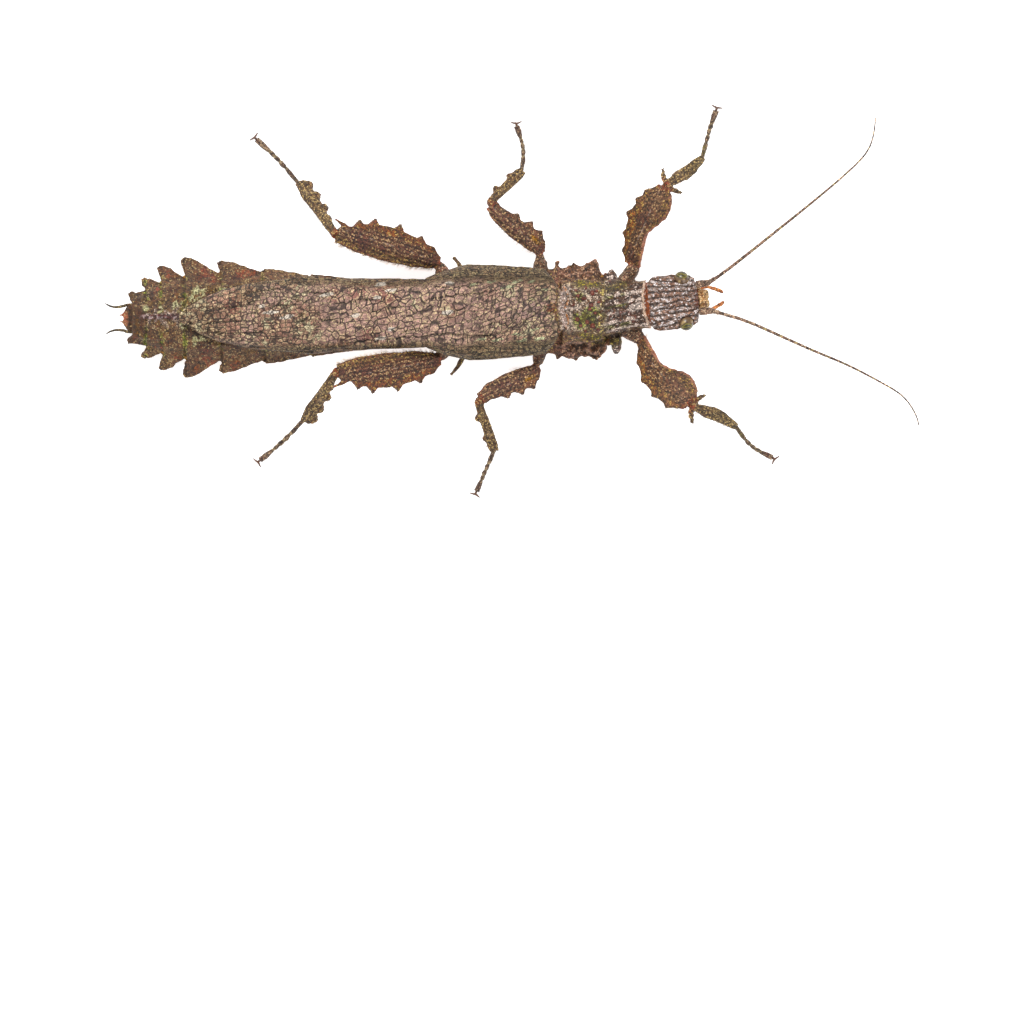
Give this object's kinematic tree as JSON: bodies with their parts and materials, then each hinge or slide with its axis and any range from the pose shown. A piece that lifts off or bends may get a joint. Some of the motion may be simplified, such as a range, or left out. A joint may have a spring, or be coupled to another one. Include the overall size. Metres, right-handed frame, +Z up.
{
  "type": "bark stick insect (Prisopus), still life-size model",
  "caption": "Bark-coloured stick insect standing flat on its feet, wings folded, toothed leaf-like femora and long feelers spread.",
  "frame": {"origin": "on the floor under the middle of the standing insect's bounding box", "axes": "+X along the body towards the head, +Y towards the insect's left, +Z up"},
  "size_m": [0.09, 0.043, 0.0078],
  "materials": {
    "bark_wing": "matt leathery wing with raised mauve-brown cells between dark grooves, pale flecks",
    "bark_cuticle": "rough brown cuticle with olive and yellow granules, moss-green and red patches",
    "leg_cuticle": "rough olive-brown cuticle with gold speckles and a mauve midrib",
    "head_cuticle": "dark brown cuticle with silver-white granules in rows along the head",
    "eye": "glossy dark olive with yellow-green streaks",
    "membrane": "soft cream-tan cuticle with dark dots",
    "palp": "bright orange, slightly glossy",
    "claw": "hard dark brown claw"
  },
  "bodies": {
    "root": {"abdomen_1": "bark_cuticle", "abdomen_2": "bark_cuticle", "abdomen_3": "bark_cuticle", "abdomen_4": "bark_cuticle", "abdomen_5": "bark_cuticle", "abdomen_6": "bark_cuticle", "abdomen_7": "bark_cuticle", "abdomen_end": "bark_cuticle", "antenna_left": "leg_cuticle", "antenna_right": "leg_cuticle", "cercus_left": "bark_cuticle", "cercus_right": "bark_cuticle", "claws_front_left": "claw", "claws_front_right": "claw", "claws_hind_left": "claw", "claws_hind_right": "claw", "claws_mid_left": "claw", "claws_mid_right": "claw", "coxa_front_left": "leg_cuticle", "coxa_front_right": "leg_cuticle", "coxa_hind_left": "leg_cuticle", "coxa_hind_right": "leg_cuticle", "coxa_mid_left": "leg_cuticle", "coxa_mid_right": "leg_cuticle", "eye_left": "eye", "eye_right": "eye", "femur_front_left": "leg_cuticle", "femur_front_right": "leg_cuticle", "femur_hind_left": "leg_cuticle", "femur_hind_right": "leg_cuticle", "femur_mid_left": "leg_cuticle", "femur_mid_right": "leg_cuticle", "head": "head_cuticle", "mesothorax": "bark_cuticle", "metathorax": "bark_cuticle", "mouthparts": "membrane", "operculum": "bark_cuticle", "palp_left": "palp", "palp_right": "palp", "prothorax": "bark_cuticle", "tarsus_front_left": "leg_cuticle", "tarsus_front_right": "leg_cuticle", "tarsus_hind_left": "leg_cuticle", "tarsus_hind_right": "leg_cuticle", "tarsus_mid_left": "leg_cuticle", "tarsus_mid_right": "leg_cuticle", "tegmen_left": "bark_wing", "tegmen_right": "bark_wing", "tibia_front_left": "leg_cuticle", "tibia_front_right": "leg_cuticle", "tibia_hind_left": "leg_cuticle", "tibia_hind_right": "leg_cuticle", "tibia_mid_left": "leg_cuticle", "tibia_mid_right": "leg_cuticle", "wing_left": "bark_wing", "wing_right": "bark_wing"}
  },
  "joints": []
}
